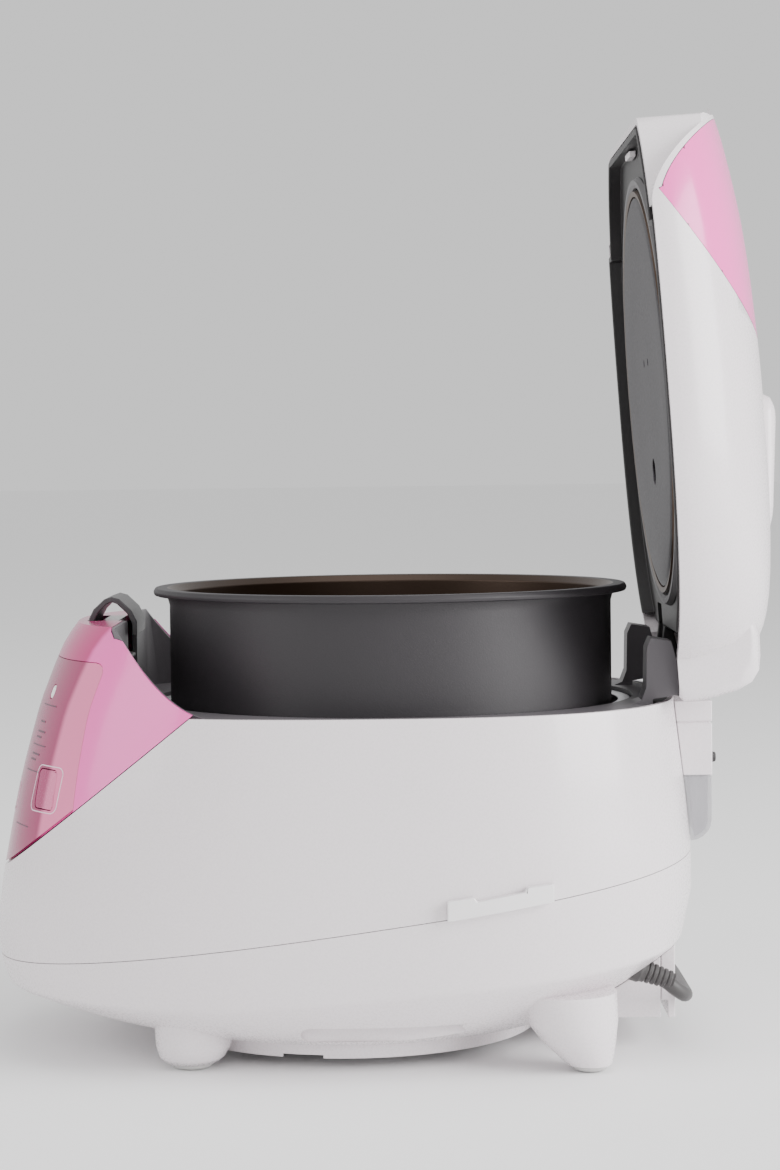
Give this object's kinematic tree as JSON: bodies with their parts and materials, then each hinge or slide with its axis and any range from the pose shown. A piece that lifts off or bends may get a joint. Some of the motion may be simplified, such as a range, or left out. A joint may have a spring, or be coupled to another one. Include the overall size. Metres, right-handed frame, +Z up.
{
  "type": "rice cooker",
  "caption": "Rounded countertop rice cooker with sloping control panel, hinged domed lid standing open, removable inner pot drawn up, rear dew collector and mains cord",
  "frame": {"origin": "on the table, under the middle of the cooker's bounding box without its cord, on the pot's axis", "axes": "+Z up, -Y the front with the control panel, +Y the hinge and rear, +X the cooker's right-hand side seen from the front"},
  "size_m": [0.3773, 0.3636, 0.4291],
  "materials": {
    "white_plastic": "warm white moulded plastic with a soft gloss",
    "base_plastic": "plain off-white plastic",
    "grip_plastic": "brighter white moulded plastic",
    "pink_panel": "glossy pink plastic with a darker edge",
    "control_film": "glossy dusky pink film over the controls",
    "key_plastic": "dusky pink plastic",
    "dark_plastic": "fine-grained dark grey plastic",
    "black_plastic": "black plastic",
    "clear_plastic": "clear grey plastic",
    "display_lens": "dark display lens",
    "lamp_lens": "milky lamp lens",
    "pot_coating": "dark non-stick coating, bronze inside",
    "lid_plate_metal": "grey coated aluminium",
    "aluminium": "bare pressed aluminium",
    "steel": "bright steel",
    "brass": "bare brass",
    "seal_rubber": "grey silicone rubber",
    "black_rubber": "black rubber",
    "pad_rubber": "pale grey rubber",
    "cord_rubber": "dark grey flexible sheath",
    "circuit_board": "green circuit board"
  },
  "bodies": {
    "housing": {"base_shell": "white_plastic", "body_shell": "white_plastic", "bottom_cover": "base_plastic", "control_board": "circuit_board", "control_film": "control_film", "cord_coil": "cord_rubber", "cord_gland": "cord_rubber", "cord_lead": "cord_rubber", "cord_tail": "cord_rubber", "cover_screw_1": "steel", "cover_screw_2": "steel", "cover_screw_3": "steel", "dew_bracket": "white_plastic", "foot_pad_front_left": "pad_rubber", "foot_pad_front_right": "pad_rubber", "foot_pad_rear_left": "pad_rubber", "foot_pad_rear_right": "pad_rubber", "front_panel": "pink_panel", "heater_plate": "aluminium", "hinge_pin": "steel", "hinge_spring_left": "steel", "hinge_spring_right": "steel", "latch_spring": "steel", "lcd_window": "display_lens", "plug_body": "cord_rubber", "plug_pin_1": "brass", "plug_pin_2": "brass", "pot_liner": "aluminium", "power_board": "circuit_board", "rear_bumper": "black_rubber", "rear_skirt": "white_plastic", "rear_spacer": "white_plastic", "sensor_holder": "steel", "sensor_spring": "steel", "side_grip_left": "grip_plastic", "side_grip_right": "grip_plastic", "status_lamp": "lamp_lens", "top_deck": "dark_plastic"},
    "lid": {"lid_shell": "white_plastic", "lid_insert": "pink_panel", "lid_frame": "dark_plastic", "lid_heater_plate": "aluminium", "lid_seal": "seal_rubber", "plate_gasket": "seal_rubber", "lid_catch": "white_plastic", "steam_tube": "seal_rubber"},
    "lid_plate": {"inner_lid_plate": "lid_plate_metal"},
    "vent": {"vent_cap": "white_plastic"},
    "pot": {"inner_pot": "pot_coating"},
    "release": {"release_arch": "dark_plastic"},
    "hook": {"latch_hook": "black_plastic"},
    "dew_cup": {"dew_collector": "clear_plastic"},
    "sensor": {"sensor_cap": "steel"},
    "key_cook_cap": {"key_cook": "key_plastic"},
    "key_cancel_cap": {"key_cancel": "key_plastic"},
    "key_menu_cap": {"key_menu": "key_plastic"},
    "key_time_down_cap": {"key_time_down": "key_plastic"},
    "key_time_up_cap": {"key_time_up": "key_plastic"}
  },
  "joints": [
    {"name": "lid_hinge", "type": "hinge", "parent": "housing", "child": "lid", "pos_m": [0, 0.134, 0.1661], "axis": [1, 0, 0], "range_deg": [0, 86], "stiffness_Nm_per_rad": 0.55, "springref_deg": -42.97},
    {"name": "pot_lift", "type": "slide", "parent": "housing", "child": "pot", "axis": [0, 0, 1], "range_m": [-0.05, 0]},
    {"name": "inner_plate_release", "type": "slide", "parent": "lid", "child": "lid_plate", "axis": [0, -0.9976, -0.0698], "range_m": [0, 0.01]},
    {"name": "vent_cap_lift", "type": "slide", "parent": "lid", "child": "vent", "axis": [0, 0.9976, 0.0698], "range_m": [0, 0.012]},
    {"name": "release_press", "type": "slide", "parent": "housing", "child": "release", "axis": [0, 0, -1], "range_m": [0, 0.004], "stiffness_N_per_m": 400, "springref_m": -0.003},
    {"name": "latch_hook_turn", "type": "hinge", "parent": "housing", "child": "hook", "pos_m": [0, -0.127, 0.167], "axis": [1, 0, 0], "range_deg": [0, 10]},
    {"name": "dew_collector_pull", "type": "slide", "parent": "housing", "child": "dew_cup", "axis": [0, 0.5, -0.866], "range_m": [0, 0.02]},
    {"name": "sensor_press", "type": "slide", "parent": "housing", "child": "sensor", "axis": [0, 0, 1], "range_m": [-0.003, 0], "stiffness_N_per_m": 300, "springref_m": 0.004, "deforming": ["sensor_spring"]},
    {"name": "key_cook_press", "type": "slide", "parent": "housing", "child": "key_cook_cap", "axis": [-0.5521, 0.8148, -0.1769], "range_m": [0, 0.0008], "stiffness_N_per_m": 400, "springref_m": -0.001},
    {"name": "key_cancel_press", "type": "slide", "parent": "housing", "child": "key_cancel_cap", "axis": [0.5521, 0.8148, -0.1769], "range_m": [0, 0.0008], "stiffness_N_per_m": 400, "springref_m": -0.001},
    {"name": "key_menu_press", "type": "slide", "parent": "housing", "child": "key_menu_cap", "axis": [0, 0.9766, -0.2152], "range_m": [0, 0.0008], "stiffness_N_per_m": 400, "springref_m": -0.001},
    {"name": "key_time_down_press", "type": "slide", "parent": "housing", "child": "key_time_down_cap", "axis": [0.1398, 0.9674, -0.2113], "range_m": [0, 0.0008], "stiffness_N_per_m": 400, "springref_m": -0.001},
    {"name": "key_time_up_press", "type": "slide", "parent": "housing", "child": "key_time_up_cap", "axis": [-0.1398, 0.9674, -0.2113], "range_m": [0, 0.0008], "stiffness_N_per_m": 400, "springref_m": -0.001}
  ],
  "couplings": [
    {"joint": "pot_lift", "follows": "lid_hinge", "m_per_rad": -0.0333},
    {"joint": "latch_hook_turn", "follows": "release_press", "rad_per_m": 43.6}
  ]
}
